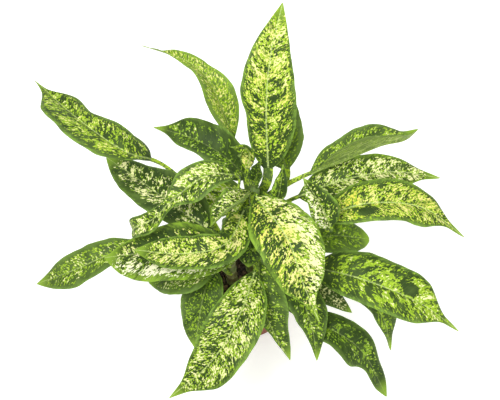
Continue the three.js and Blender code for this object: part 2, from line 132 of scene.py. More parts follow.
# Leaves
CURVE_STEPS = 80
RIB_SAMPLES = 160
PETIOLE_ROWS = 26
PETIOLE_SAMPLES = 200
BLADE_ROWS = 128
LEAF_ROWS = PETIOLE_ROWS + BLADE_ROWS
LAST_ROW = 0.994
COLUMNS = 29
COLUMN_SPREAD = 0.9
SHARP_ANGLE = 50
TIP_HALF_WIDTH = 0.5
BLADE_THICKNESS = 0.8
MARGIN_THICKNESS = 0.4
RIB_KEEL = 2.4
RIB_KEEL_WIDTH = 1.9
RIB_GROOVE = 0.7
RIB_GROOVE_WIDTH = 1.5
PETIOLE_TIP = (0.6, 3.4)
SHEATH_FOOT = (6.8, 2.6, 5)
SHEATH_SHARE = 0.85
PETIOLE_SINK = 3
PETIOLE_RISE = (0.94, 0.34)
PETIOLE_PULL = (0.42, 0.34)
PETIOLE_JOIN = 0.8
VEIN_SLOPE = 0.35
VEIN_BEND = 0.008
QUILT_SPACING = 13
QUILT_HEIGHT = 0.45
QUILT_START = (1, 9)
EDGE_SWAY = 0.5
EDGE_UNEVEN = 0.006
EDGE_RATES = (37, 61)
RIGHT_WAVE_SHIFT = 2.5
WAVE_FADE = 0.6
FIRST_WIDTH = 0.1
WIDTH_STEP = 0.2

# Colours, linear
DARK = (0.032, 0.064, 0.009, 1)
GREEN = (0.15, 0.24, 0.045, 1)
MARGIN_GREEN = (0.19, 0.33, 0.045, 1)
TIP_GREEN = (0.29, 0.47, 0.035, 1)
FLECK_GREEN = (0.15, 0.27, 0.028, 1)
LIME_DEEP = (0.26, 0.43, 0.02, 1)
LIME = (0.46, 0.65, 0.038, 1)
CREAM = (0.87, 0.84, 0.44, 1)
CREAM_PALE = (0.9, 0.88, 0.62, 1)
GOLD = (0.8, 0.69, 0.09, 1)
RIB = (0.56, 0.68, 0.24, 1)
UNDER = (0.21, 0.305, 0.07, 1)
UNDER_PALE = (0.47, 0.6, 0.17, 1)
PETIOLE_GREEN = (0.062, 0.12, 0.02, 1)
PETIOLE_PALE = (0.3, 0.43, 0.085, 1)
CANE_GREEN = (0.15, 0.23, 0.06, 1)
CANE_BROWN = (0.15, 0.12, 0.045, 1)
SCAR_PALE = (0.33, 0.36, 0.15, 1)
POT_BROWN = (0.19, 0.045, 0.02, 1)
POT_LIGHT = (0.26, 0.07, 0.034, 1)
SOIL_DARK = (0.012, 0.008, 0.005, 1)
SOIL_BROWN = (0.06, 0.034, 0.018, 1)
CHIP_DARK = (0.03, 0.016, 0.009, 1)
CHIP_LIGHT = (0.23, 0.14, 0.075, 1)
WHITE = (1, 1, 1, 1)
FLOOR_PALE = (0.9, 0.9, 0.89, 1)

# Noise in the leaf pattern: features in a centimetre across and along the side veins, the place in
# the noise, its detail and its roughness. The two drifts shift the flecks and make them ragged.
FLECKS = (3.5, 3, 0, 1.5, 0.55)
FINE = (4.6, 3.8, 13, 1.2, 0.5)
PATCHY = (0.9, 0.5, 7, 1.5, 0.5)
BLOTS = (1.2, 0.75, 31, 2, 0.6)
CLOUDS = (0.5, 0.5, 23, 2, 0.5)
DRIFTS = ((4.2, 3.6, 41, 1, 0.5), (4.2, 3.6, 47, 1, 0.5))
DRIFT_REACH = 0.45

# Starts and ends of soft changes in the leaf pattern, in shares of the blade's length (base, point,
# tip), of its half-width (rim, vein, and margin from where a leaf's own starts) or of the dark patch,
# and else in noise
BASE_BAND = (0, 0.07)
POINT_BAND = (0.84, 0.95)
TIP_BAND = (0.82, 0.97)
MARGIN_BAND = (-0.14, 0.1)
RIM_BAND = (0.86, 1.02)
VEIN_BAND = (0.5, 0.95)
BLOT_BAND = (0.59, 0.62)
RIM_BLOT_BAND = (0.36, 0.6)
PATCH_BAND = (0.95, 1.05)
TONE_BAND = (0.38, 0.58)
DOT_BAND = (0.42, 0.55)
LIME_SOFT = 0.008
CREAM_SOFT = 0.01

# Strengths in the leaf pattern. A pair is a factor and what is added to the product.
LIME_LEVEL = (-0.36, 0.68)
CREAM_LEVEL = (-0.34, 0.7)
FRESH = (2.8, -0.65)
CLEAR_RIB = (2.4, -0.45)
PATCHINESS = 0.6
FRAYING = 0.35
MARGIN_LOSS = 0.28
BASE_LOSS = 0.12
HALF_MARKS_AND_SHADE_SHARE = 0.25
BLOTCH_SHARE = 1.1
PATCH_RAGGED = 0.9
MID_DEPTH = 0.75
TIP_TINT = 0.75
VEIN_TINT = 0.1
VEIN_STEP = 0.8
SEED_STEP = 3.1


@dataclass
class Leaf:
    """One leaf. Where left and right may differ, one number stands for both or a pair for each."""
    name: str
    # The cane that the petiole leaves, and the height there
    cane: str
    node: float
    # The blade's full width, and the points of its midrib
    width: float
    rib: list
    # How far the halves rise from the rib, how far they bend over, and the roll about the rib, in degrees
    fold: object
    curl: object = 18
    roll: float = 0
    # Half the petiole's width where the blade starts, and the bluntness of the blade's base and tip
    stalk: float = 3
    ends: tuple = (0.8, 1.02)
    # The halves' widths at five places
    left: tuple = (1, 1, 1, 1, 1)
    right: tuple = (1, 1, 1, 1, 1)
    # The height, number and phase of the edge's waves
    wave: float = 2.5
    waves: float = 2.2
    phase: float = 0


LEAVES = [
    Leaf("leaf_01", "back", 298, 80, fold=6, wave=1, stalk=7, ends=(0.6, 1.05),
         left=(0.72, 0.68, 0.98, 1.02, 1), right=(1.05, 1.05, 1.03, 1.03, 1.05),
         rib=[(28, 43, 372), (25, 99, 432), (30, 150, 482), (47, 215, 520)]),
    Leaf("leaf_02", "back", 248, 70, fold=12, roll=-5, stalk=6, left=(1, 1, 1, 0.8, 0.7),
         right=(1.05, 1, 0.95, 0.95, 0.9), rib=[(54, 68, 325), (44, 104, 370), (49, 172, 395)]),
    Leaf("leaf_03", "back", 270, 74, fold=(44, 30), roll=5, wave=5, waves=2.5, phase=1,
         left=(1.2, 1.1, 0.62, 0.24, 0.12), right=(0.95, 0.78, 0.45, 0.25, 0.1),
         rib=[(-21, 120, 322), (-40, 152, 365), (-57, 178, 388), (-80, 202, 390), (-112, 226, 380),
              (-156, 258, 356)]),
    Leaf("leaf_04", "left", 255, 80, fold=(4, 12), roll=-4, left=(0.9, 0.65, 0.52, 0.6, 0.3),
         right=(1, 0.83, 0.84, 0.95, 0.45),
         rib=[(2, 61, 310), (-42, 82, 348), (-88, 106, 352), (-136, 129, 338)]),
    Leaf("leaf_05", "left", 210, 66, fold=8, wave=3, ends=(0.4, 1.02), left=(0.25, 1.15, 1.5, 1.75, 0.75),
         right=(1.15, 1.1, 0.85, 1.35, 0.15),
         rib=[(-141, 107, 284), (-180, 102, 319), (-250, 157, 319), (-323, 245, 284)]),
    Leaf("leaf_06", "left", 225, 78, fold=(10, 0), wave=2, left=(1, 0.88, 0.92, 0.98, 1),
         right=(1.5, 1.4, 1.1, 0.85, 0.9),
         rib=[(-54, -7, 275), (-111, 35, 283), (-163, 84, 269), (-213, 134, 243)]),
    Leaf("leaf_07", "left", 285, 62, fold=10, wave=3, left=(1.1, 1, 0.32, 0.75, 1.15),
         right=(1.1, 0.9, 0.3, 0.6, 0.9),
         rib=[(-18, 47, 345), (-55, 34, 368), (-98, 9, 352), (-133, -15, 328), (-159, -15, 306),
              (-166, 0, 262)]),
    Leaf("leaf_08", "left", 165, 60, fold=6, wave=4, phase=1.5, left=(0.6, 0.65, 0.9, 1.1, 1.2),
         right=(0.6, 0.8, 1, 1, 1),
         rib=[(-143, 3, 228), (-196, -25, 242), (-255, -44, 222), (-312, -48, 185)]),
    Leaf("leaf_09", "left", 240, 94, fold=6, wave=2, left=(1, 1, 1.08, 1.25, 1.4),
         right=(1, 0.9, 0.88, 0.85, 0.85),
         rib=[(-11, -36, 262), (-89, -44, 292), (-146, -47, 288), (-205, -42, 262)]),
    Leaf("leaf_10", "back", 240, 66, fold=12, wave=3, left=(0.9, 1, 1, 1, 1), right=(1, 0.58, 0.8, 1, 1),
         rib=[(-5, 2, 325), (-30, -57, 338), (-86, -70, 334), (-160, -48, 300)]),
    Leaf("leaf_11", "left", 180, 62, fold=10, rib=[(-50, -53, 244), (-94, -63, 246), (-144, -60, 217)]),
    Leaf("leaf_12", "left", 150, 62, fold=8, wave=3,
         rib=[(-50, -32, 206), (-62, -70, 212), (-71, -100, 181), (-78, -131, 136)]),
    Leaf("leaf_13", "left", 210, 84, fold=8, wave=2, left=(1, 1, 0.95, 1.05, 0.6),
         right=(1, 0.95, 0.95, 0.85, 0.4),
         rib=[(10, -64, 262), (-12, -131, 262), (-51, -186, 228), (-112, -223, 180)]),
    Leaf("leaf_14", "right", 180, 74, fold=(10, 28), roll=-10, wave=1, left=(1, 1, 0.95, 0.75, 0.8),
         right=(0.6, 0.6, 0.42, 0.22, 0.15),
         rib=[(15, -40, 245), (20, -102, 240), (38, -138, 212), (61, -163, 172)]),
    Leaf("leaf_15", "right", 165, 58, fold=12, left=(1, 1, 1, 0.9, 0.8), right=(1, 0.95, 0.75, 0.55, 0.45),
         rib=[(50, -43, 225), (77, -90, 225), (93, -126, 195), (100, -159, 159)]),
    Leaf("leaf_16", "back", 320, 88, fold=5, wave=1, left=(1, 1, 1, 0.95, 0.3),
         right=(1, 1.1, 1, 0.92, 0.35),
         rib=[(11, -1, 372), (52, -75, 392), (74, -129, 362), (96, -168, 325)]),
    Leaf("leaf_17", "right", 240, 78, fold=6, left=(1.3, 1.15, 1, 1.15, 0.35), right=(1, 1, 1, 1.1, 0.4),
         rib=[(87, -61, 275), (161, -94, 300), (238, -120, 280), (296, -146, 240)]),
    Leaf("leaf_18", "right", 218, 56, fold=10, left=(1, 1, 1, 1, 0.6), right=(0.8, 0.6, 0.5, 0.55, 0.45),
         rib=[(124, -71, 242), (167, -94, 245), (194, -118, 215), (206, -149, 175)]),
    Leaf("leaf_19", "right", 135, 62, fold=6, wave=3, left=(1, 0.95, 0.9, 0.75, 1.1),
         right=(1, 0.85, 1.15, 0.65, 1.2),
         rib=[(74, -92, 172), (135, -123, 172), (173, -145, 142), (206, -190, 92)]),
    Leaf("leaf_20", "right", 150, 44, fold=10, right=(1, 0.8, 0.65, 0.6, 0.7),
         rib=[(69, -43, 195), (107, -71, 205), (152, -92, 180)]),
    Leaf("leaf_21", "right", 265, 74, fold=8, left=(1, 1, 0.98, 0.85, 0.35),
         right=(1, 0.9, 0.85, 1.15, 0.5),
         rib=[(98, -8, 320), (169, 2, 345), (245, 5, 325), (306, -24, 290)]),
    Leaf("leaf_22", "back", 225, 74, fold=8, left=(1, 0.92, 0.84, 0.8, 0.5), right=(1.5, 1.2, 1, 1, 0.6),
         rib=[(72, 34, 305), (137, 49, 328), (209, 64, 323), (277, 67, 299)]),
    Leaf("leaf_23", "back", 285, 78, fold=(0, 95), curl=(15, 10), roll=8, wave=4,
         left=(1, 0.9, 0.95, 1.05, 1), right=(0.5, 1, 1, 0.8, 0.6),
         rib=[(88, 50, 345), (133, 59, 366), (185, 82, 366), (220, 92, 364), (240, 109, 366)]),
    Leaf("leaf_24", "back", 302, 44, fold=20, roll=-10, ends=(0.6, 1.2),
         rib=[(113, -34, 345), (100, -18, 373), (74, 8, 408)]),
    Leaf("leaf_25", "right", 198, 62, fold=8, ends=(0.7, 0.7),
         rib=[(69, -8, 250), (124, -10, 268), (176, -5, 246)]),
    Leaf("leaf_26", "back", 288, 32, fold=25, wave=4, waves=1.6, phase=1, right=(0.5, 0.55, 0.9, 1, 1),
         rib=[(-1, 49, 357), (3, 58, 375), (-4, 64, 390), (-24, 64, 392)]),
    Leaf("leaf_27", "back", 205, 42, fold=14, rib=[(6, -14, 290), (4, -34, 286), (0, -56, 260)]),
    Leaf("leaf_28", "back", 165, 74, fold=8, wave=2, left=(0.7, 0.65, 0.6, 0.75, 1),
         right=(1.1, 1.1, 1, 1, 1), rib=[(-6, 52, 220), (-34, 63, 230), (-62, 55, 232), (-94, 39, 224)]),
    Leaf("leaf_29", "back", 328, 24, fold=25, ends=(0.4, 1), stalk=6, right=(1.3, 1.5, 1.6, 1.6, 1.4),
         rib=[(9, 34, 350), (15, 38, 373), (18, 44, 394)]),
    Leaf("leaf_30", "back", 324, 22, fold=25, ends=(0.4, 1), stalk=7, left=(1, 1, 0.9, 0.7, 0.6),
         rib=[(42, 14, 338), (46, 30, 351), (49, 53, 364)]),
    Leaf("leaf_rolled", "back", 330, 48, fold=(60, 15), curl=(-30, 12),
         rib=[(2, 16, 354), (-15, -12, 375), (-33, -26, 372), (-51, -38, 352)]),
]

# How each leaf is marked: how much of it is lime, how much of that cream, the plain margin's share of a
# half, how dark the green is, how much more marked the right half is (partly real marks and partly painted
# shade: a half in shade gets fewer flecks, and the lit half paler cream), how much more marked the tip is,
# the blotches, how much of the cream is golden, and how pale the rim is
MARKS = {
    "leaf_01": (0.6, 0.38, 0.08, 0.9, 0, 0.2, 0.7, 0.75, 0.2),
    "leaf_02": (0.38, 0.1, 0.16, 0.2, 0, 0, 0.4, 0, 0),
    "leaf_03": (0.6, 0.4, 0.16, 0, 0, 0, 0.3, 0.6, 0.8),
    "leaf_04": (0.27, 0.02, 0.18, 0.8, 0, 0, 0.8, 0, 0),
    "leaf_05": (0.5, 0.24, 0.14, 0.75, 0, 0.1, 0.7, 0.5, 0.2),
    "leaf_06": (0.42, 0.44, 0.24, 0.85, 0, 0, 0.7, 0, 0),
    "leaf_07": (0.5, 0.36, 0.14, 0.7, 0, 0, 0.6, 0, 0.2),
    "leaf_08": (0.44, 0.24, 0.22, 0.5, 0, 0, 0.5, 0, 0),
    "leaf_09": (0.45, 0.42, 0.14, 0.9, -0.65, 0, 0.9, 0, 0.9),
    "leaf_10": (0.58, 0.42, 0.12, 0.85, 0, 0, 0.8, 0.5, 0.3),
    "leaf_11": (0.38, 0.4, 0.2, 0.45, 0, 0, 0.4, 0, 0),
    "leaf_12": (0.34, 0.05, 0.15, 0.65, 0, 0, 0.4, 0, 0),
    "leaf_13": (0.54, 0.38, 0.08, 0.9, 0, 0, 0.6, 0.1, 0.3),
    "leaf_14": (0.44, 0.24, 0.15, 0.6, 0.3, 0, 0.5, 0, 0),
    "leaf_15": (0.36, 0.12, 0.18, 0.75, 0, 0, 0.5, 0, 0),
    "leaf_16": (0.61, 0.52, 0.06, 0.95, -0.25, 0.1, 0.6, 0.7, 0.6),
    "leaf_17": (0.5, 0.1, 0.1, 0.75, 0, 0.2, 0.9, 0, 0.1),
    "leaf_18": (0.38, 0.02, 0.12, 0.7, 0, 0, 0.4, 0, 0),
    "leaf_19": (0.3, 0.03, 0.2, 0.8, 0, 0, 0.6, 0, 0),
    "leaf_20": (0.36, 0.8, 0.2, 0.6, 0, 0, 0.4, 0, 0),
    "leaf_21": (0.6, 0.42, 0.14, 0.75, 0, 0, 0.6, 0.9, 0.3),
    "leaf_22": (0.56, 0.45, 0.14, 0.75, 0, 0.1, 0.7, 0, 0.7),
    "leaf_23": (0.48, 0.2, 0.12, 0.55, 0, 0, 0.5, 0, 0),
    "leaf_24": (0.5, 0.44, 0.12, 0.95, -0.6, 0, 0.4, 0, 0.4),
    "leaf_25": (0.36, 0.05, 0.18, 0.3, 0, 0, 0.3, 0, 0),
    "leaf_26": (0.62, 0.4, 0.06, 0.75, 0, 0, 0.5, 0.8, 0),
    "leaf_27": (0.26, 0, 0.2, 0.85, 0, 0, 0.4, 0, 0),
    "leaf_28": (0.62, 0.4, 0.1, 0.5, 0, 0, 0.5, 0, 0),
    "leaf_29": (0.32, 0, 0.1, 0.95, 0, 0, 0.4, 0, 0),
    "leaf_30": (0.36, 0.1, 0.02, 0.85, -0.4, 0, 0.5, 0, 0),
    "leaf_rolled": (0.47, 0.42, 0.12, 0.95, 0.15, 0, 0.5, 0.3, 0.5),
}

# Two leaves have one clear dark patch: its place along and across the blade, and its half-sizes
PATCHES = {"leaf_17": (0.61, 0.35), "leaf_21": (0.3, 0.73)}
NO_PATCH = (-1, 0)
PATCH_SIZE = (0.052, 0.12)

# What the leaf pattern takes: a row's numbers, the patch's place and a place in noise
MARK_NAMES = ("Lime", "Cream", "Margin", "Depth", "Tilt", "Tip", "Blotch", "Gold", "Rim",
              "Patch along", "Patch across", "Seed")


# Camera and light

def add_object(name, data):
    """A new object in the scene."""
    thing = bpy.data.objects.new(name, data)
    bpy.context.collection.objects.link(thing)
    return thing


def make_camera():
    data = bpy.data.cameras.new("camera")
    data.lens = CAMERA_LENS
    data.sensor_width = CAMERA_SENSOR
    data.clip_end = CAMERA_REACH
    camera = add_object("camera", data)
    camera.location = CAMERA_PLACE
    camera.rotation_euler = (math.radians(CAMERA_TILT), 0, 0)
    bpy.context.scene.camera = camera


def make_lamp(name, place, size, power):
    data = bpy.data.lights.new(name, "AREA")
    data.shape = "SQUARE"
    data.size = size
    data.energy = power
    lamp = add_object(name, data)
    lamp.location = place
    lamp.rotation_euler = (Vector(LAMP_AIM) - Vector(place)).to_track_quat("-Z", "Y").to_euler()


def make_room():
    world = bpy.data.worlds.new("room")
    world.use_nodes = True
    sky = world.node_tree.nodes["Background"]
    sky.inputs["Color"].default_value = WHITE
    sky.inputs["Strength"].default_value = SKY_STRENGTH
    bpy.context.scene.world = world
    bpy.context.scene.view_settings.view_transform = "Standard"
    for name, row in LAMPS.items():
        make_lamp(name, *row)


# Shader nodes

class Value:
    """A number or colour that shader nodes work out. Arithmetic with it adds nodes to its tree."""

    def __init__(self, socket):
        self.socket = socket
        self.tree = socket.id_data

    def __add__(self, other):
        return calc("ADD", self, other)

    def __sub__(self, other):
        return calc("SUBTRACT", self, other)

    def __rsub__(self, other):
        return calc("SUBTRACT", other, self)

    def __mul__(self, other):
        return calc("MULTIPLY", self, other)

    def __truediv__(self, other):
        return calc("DIVIDE", self, other)

    def __abs__(self):
        return calc("ABSOLUTE", self)

    def clamped(self):
        """The same value kept between 0 and 1."""
        self.socket.node.use_clamp = True
        return self

    def scaled(self, factor, added):
        """The value times a factor, with a number added."""
        return self * factor + added


def put(socket, value):
    if isinstance(value, Value):
        value.tree.links.new(value.socket, socket)
    else:
        socket.default_value = value


def add_node(tree, kind, inputs, output=0, **settings):
    """One output of a new node whose inputs, by name or number, are set or linked."""
    node = tree.nodes.new(kind)
    for name, value in settings.items():
        setattr(node, name, value)
    for name, value in inputs.items():
        put(node.inputs[name], value)
    return Value(node.outputs[output])


def outputs_of(node):
    return {socket.name: Value(socket) for socket in node.outputs}


def tree_of(values):
    return next(value.tree for value in values if isinstance(value, Value))


def calc(operation, *values):
    return add_node(tree_of(values), "ShaderNodeMath", dict(enumerate(values)), operation=operation)


def ramp(value, low, high):
    """Goes smoothly from 0 at low to 1 at high."""
    inputs = {"Value": value, "From Min": low, "From Max": high}
    return add_node(value.tree, "ShaderNodeMapRange", inputs, interpolation_type="SMOOTHSTEP")


def mix(share, first, second):
    tree = tree_of((share, first, second))
    return add_node(tree, "ShaderNodeMix", {0: share, 6: first, 7: second}, 2, data_type="RGBA")


def noise_at(place, scale, detail, roughness):
    inputs = {"Vector": place, "Scale": scale, "Detail": detail, "Roughness": roughness}
    return add_node(place.tree, "ShaderNodeTexNoise", inputs)


def cloud(x, y, z, detail=2, roughness=0.5):
    """Soft noise at a place given by three numbers."""
    return noise_at(add_node(x.tree, "ShaderNodeCombineXYZ", {0: x, 1: y, 2: z}), 1, detail, roughness)


def scaled_cloud(tree, scale, detail=2, roughness=0.5, stretch=(1, 1, 1)):
    """Soft noise in the object's own space, in features per metre."""
    place = add_node(tree, "ShaderNodeTexCoord", {}, "Object")
    stretched = add_node(tree, "ShaderNodeMapping", {"Vector": place, "Scale": stretch})
    return noise_at(stretched, scale, detail, roughness)


def from_map(tree, name):
    """The two numbers that a map of the mesh gives."""
    place = add_node(tree, "ShaderNodeUVMap", {}, uv_map=name)
    split = tree.nodes.new("ShaderNodeSeparateXYZ")
    put(split.inputs[0], place)
    return Value(split.outputs[0]), Value(split.outputs[1])


def from_attribute(tree, name):
    return add_node(tree, "ShaderNodeAttribute", {}, "Fac", attribute_name=name)


def new_material(name):
    material = bpy.data.materials.new(name)
    material.use_nodes = True
    return material, material.node_tree, material.node_tree.nodes["Principled BSDF"]


def coat(shader, colour, roughness, specular=0.5):
    put(shader.inputs["Base Color"], colour)
    put(shader.inputs["Roughness"], roughness)
    put(shader.inputs["Specular IOR Level"], specular)


def bump(shader, height, strength, distance):
    inputs = {"Strength": strength, "Distance": distance, "Height": height}
    put(shader.inputs["Normal"], add_node(height.tree, "ShaderNodeBump", inputs))


# Leaf colours. The veins map holds a point's place across and along its side vein, in centimetres;
# the blade map holds its share of the length and its place across, from 0 at the left to 1.

def vein_lines(across_vein, least):
    """Narrow lines along the side veins."""
    return ramp(calc("SINE", across_vein * (2 * math.pi / VEIN_STEP)), least, 1)


def make_pattern():
    tree = bpy.data.node_groups.new("leaf_pattern", "ShaderNodeTree")
    for name in MARK_NAMES:
        tree.interface.new_socket(name, in_out="INPUT", socket_type="NodeSocketFloat")
    for name, kind in (("Color", "Color"), ("Height", "Float"), ("Marked", "Float")):
        tree.interface.new_socket(name, in_out="OUTPUT", socket_type=f"NodeSocket{kind}")
    given = outputs_of(tree.nodes.new("NodeGroupInput"))
    result = tree.nodes.new("NodeGroupOutput").inputs
    across_vein, along_vein = from_map(tree, "veins")
    share, across = from_map(tree, "blade")
    side = across * 2 - 1
    off_rib = abs(side)

    def field(row, shift_across=0, shift_along=0):
        across_scale, along_scale, place, detail, roughness = row
        return cloud((across_vein + shift_across) * across_scale, (along_vein + shift_along) * along_scale,
                     given["Seed"] + place, detail, roughness)

    drifts = [(field(row) - 0.5) * DRIFT_REACH for row in DRIFTS]
    flecks = field(FLECKS, *drifts)
    fine = field(FINE, *drifts)
    patches = field(PATCHY) - 0.5
    blots = field(BLOTS)
    clouds = field(CLOUDS)

    # How likely a place is to be marked: less at the margin, the base and the tip, uneven by patches
    wobble = patches * PATCHINESS
    inner = 1 - given["Margin"]
    margin = ramp(off_rib + wobble, *(inner + limit for limit in MARGIN_BAND))
    point = ramp(wobble * 0.3 + share, *POINT_BAND)
    plain = calc("MAXIMUM", margin, point)
    base = 1 - ramp(share, *BASE_BAND)
    blotch = patches * given["Blotch"] * BLOTCH_SHARE
    # Partly painted shade: one half of a leaf has fewer flecks where it lies in shade, and the other half
    # more
    half_marks_and_shade = given["Tilt"] * side
    tip = given["Tip"] * (share - 0.5)
    bias = blotch + half_marks_and_shade * HALF_MARKS_AND_SHADE_SHARE + tip - plain * MARGIN_LOSS - base * BASE_LOSS

    # Lime flecks, but none in blots and in the one dark patch, and cream flecks within them
    level = given["Lime"].scaled(*LIME_LEVEL)
    lime = ramp(flecks + bias, level - LIME_SOFT, level + LIME_SOFT)
    blot = (ramp(blots, *BLOT_BAND) * given["Blotch"]).clamped()
    along = (share - given["Patch along"]) / PATCH_SIZE[0]
    aside = (across - given["Patch across"]) / PATCH_SIZE[1]
    away = calc("SQRT", along * along + aside * aside) + (fine - 0.5) * PATCH_RAGGED
    bare = calc("MAXIMUM", blot, 1 - ramp(away, *PATCH_BAND))
    lime = lime * (1 - bare)
    level = given["Cream"].scaled(*CREAM_LEVEL)
    cream = flecks * 0.4 + fine * 0.6 + bias * 0.6
    cream = ramp(cream, level - CREAM_SOFT, level + CREAM_SOFT) * lime

    # Ground colour: dark green, lighter in clouds and towards the margin, and yellower at the tip
    lift = (plain * 0.35 + clouds.scaled(1.2, -0.5) + (MID_DEPTH - given["Depth"])).clamped()
    colour = mix(lift, DARK, GREEN)
    frayed = (fine - 0.5) * FRAYING + off_rib
    rim = ramp(frayed, given["Rim"].scaled(-0.25, RIM_BAND[0]), RIM_BAND[1])
    rim = rim * ramp(blots, *RIM_BLOT_BAND).scaled(0.75, 0.2)
    colour = mix(rim, colour, mix(given["Rim"], MARGIN_GREEN, TIP_GREEN))
    colour = mix(ramp(share, *TIP_BAND) * TIP_TINT, colour, TIP_GREEN)

    # Colours of the flecks: cream is golden near the base and pale on the side that is marked more, which
    # is partly painted light on a leaf's lit half
    warm = given["Gold"] * clouds.scaled(2, -0.3) * share.scaled(-0.7, 1.3)
    warm = (warm - half_marks_and_shade).clamped()
    pale = (half_marks_and_shade * 2.4).clamped()
    fresh = given["Lime"].scaled(*FRESH).clamped()
    lime_tone = mix(ramp(fine, *TONE_BAND), mix(fresh, FLECK_GREEN, LIME_DEEP), mix(fresh, LIME_DEEP, LIME))
    colour = mix(lime, colour, lime_tone)
    cream_tone = mix(pale, mix(warm, CREAM, GOLD), CREAM_PALE)
    colour = mix(cream, colour, cream_tone)

    # Midrib, pale and tapering, and the faint lines of the side veins
    rib_width = share.scaled(-0.11, 0.19)
    rib = 1 - ramp(abs(along_vein), rib_width * 0.5, rib_width)
    dotted = ramp(fine, *DOT_BAND).scaled(0.5, 0.35)
    clear = given["Lime"].scaled(*CLEAR_RIB).clamped()
    colour = mix(rib * (dotted * clear), colour, RIB)
    vein = vein_lines(across_vein, 0.8) * (1 - ramp(off_rib, *VEIN_BAND))
    colour = mix(vein * VEIN_TINT, colour, GREEN)
    put(result["Color"], colour)
    put(result["Height"], fine * 0.5 - vein * 0.6)
    put(result["Marked"], lime)
    return tree


def marked(tree, pattern, marks):
    """What the leaf pattern gives for one leaf's marks."""
    group = tree.nodes.new("ShaderNodeGroup")
    group.node_tree = pattern
    for name, value in zip(MARK_NAMES, marks):
        group.inputs[name].default_value = value
    return outputs_of(group)


def face_material(name, pattern, marks):
    material, tree, shader = new_material(name)
    result = marked(tree, pattern, marks)
    coat(shader, result["Color"], result["Marked"].scaled(0.06, 0.54), 0.18)
    bump(shader, result["Height"], 0.35, 0.0008)
    return material


def under_material(name, pattern, marks):
    """The underside: dull, with the face's marks showing through and a pale midrib."""
    material, tree, shader = new_material(name)
    result = marked(tree, pattern, marks)
    across_vein, along_vein = from_map(tree, "veins")
    share = from_map(tree, "blade")[0]
    colour = mix(0.55, result["Color"], UNDER)
    streaks = cloud(across_vein * 0.5, along_vein * 5, marks[-1])
    colour = mix(ramp(streaks, 0.5, 0.64) * 0.6, colour, UNDER_PALE)
    rib = ramp(abs(along_vein), 0.08, share.scaled(-0.1, 0.22))
    colour = mix(rib, PETIOLE_PALE, colour)
    vein = vein_lines(across_vein, 0.75)
    colour = mix(vein * 0.3, colour, PETIOLE_PALE)
    coat(shader, colour, 0.55, 0.25)
    bump(shader, vein, 0.4, 0.0006)
    return material


def petiole_material():
    material, tree, shader = new_material("petiole")
    length, across = from_map(tree, "blade")
    streaks = cloud(length * 9, across * 26, 2, 3)
    spots = scaled_cloud(tree, 340, 2, 0.65, (1, 1, 0.6))
    patches = scaled_cloud(tree, 60, 1)
    colour = mix(ramp(streaks, 0.45, 0.65) * 0.45, PETIOLE_GREEN, PETIOLE_PALE)
    colour = mix(ramp(patches * 0.5 + spots, 0.76, 0.79) * 0.85, colour, LIME)
    coat(shader, colour, 0.45, 0.3)
    bump(shader, streaks, 0.25, 0.0006)
    return material


def cane_material():
    """Green bark with pale scars, brown and dull near the soil."""
    material, tree, shader = new_material("cane")
    height = from_map(tree, "cane")[0]
    streaks = scaled_cloud(tree, 180, 3, 0.6, (1, 1, 0.25))
    clouds = scaled_cloud(tree, 45, 2)
    old = (1 - ramp(height, 0.11, 0.26)) * ramp(clouds, 0.3, 0.62)
    colour = mix(old, CANE_GREEN, CANE_BROWN)
    colour = mix(ramp(streaks, 0.5, 0.7) * 0.5, colour, SCAR_PALE)
    colour = mix(from_attribute(tree, "scar") * 0.75, colour, SCAR_PALE)
    coat(shader, colour, streaks.scaled(0.3, 0.4))
    bump(shader, streaks, 0.5, 0.0008)
    return material


def pot_material():
    material, tree, shader = new_material("pot_plastic")
    clouds = scaled_cloud(tree, 22, 3)
    grain = scaled_cloud(tree, 900, 2)
    scuffs = scaled_cloud(tree, 60, 4, 0.7, (1, 1, 0.15))
    colour = mix(ramp(clouds, 0.35, 0.7), POT_BROWN, POT_LIGHT)
    colour = mix(ramp(scuffs, 0.58, 0.72) * 0.25, colour, CHIP_LIGHT)
    coat(shader, colour, scuffs.scaled(0.25, 0.42), 0.15)
    bump(shader, grain, 0.15, 0.0003)
    return material


def soil_material():
    material, tree, shader = new_material("soil")
    crumbs = scaled_cloud(tree, 420, 4, 0.7)
    clouds = scaled_cloud(tree, 70, 3)
    colour = mix(ramp(crumbs, 0.42, 0.68), SOIL_DARK, SOIL_BROWN)
    colour = mix(ramp(clouds, 0.5, 0.7) * 0.4, colour, SOIL_BROWN)
    coat(shader, colour, crumbs.scaled(-0.2, 0.95))
    bump(shader, crumbs, 0.9, 0.002)
    return material


def chip_material():
    material, tree, shader = new_material("bark_chips")
    grain = scaled_cloud(tree, 700, 3, 0.6)
    share = (grain * 0.4 + (from_attribute(tree, "tone") - 0.2)).clamped()
    coat(shader, mix(share, CHIP_DARK, CHIP_LIGHT), 0.85)
    bump(shader, grain, 0.6, 0.0008)
    return material


def floor_material():
    material, _, shader = new_material("pale_floor")
    coat(shader, FLOOR_PALE, 0.9, 0.1)
    shader.inputs["Emission Color"].default_value = FLOOR_PALE
    shader.inputs["Emission Strength"].default_value = FLOOR_GLOW
    return material


# Lines and meshes

def unit(vectors):
    return vectors / np.maximum(np.linalg.norm(vectors, axis=-1, keepdims=True), 1e-12)


def smooth(value, low, high):
    share = np.clip((value - low) / (high - low), 0, 1)
    return share * share * (3 - 2 * share)


def round_turn(count):
    return np.linspace(0, 2 * math.pi, count, endpoint=False)


def along_line(points, places):
    """Points at the given shares of a line's length."""
    steps = np.linalg.norm(np.diff(points, axis=0), axis=1)
    length = np.concatenate([[0], np.cumsum(steps)])
    places = np.asarray(places) * length[-1]
    return np.stack([np.interp(places, length, points[:, k]) for k in range(3)], axis=1)


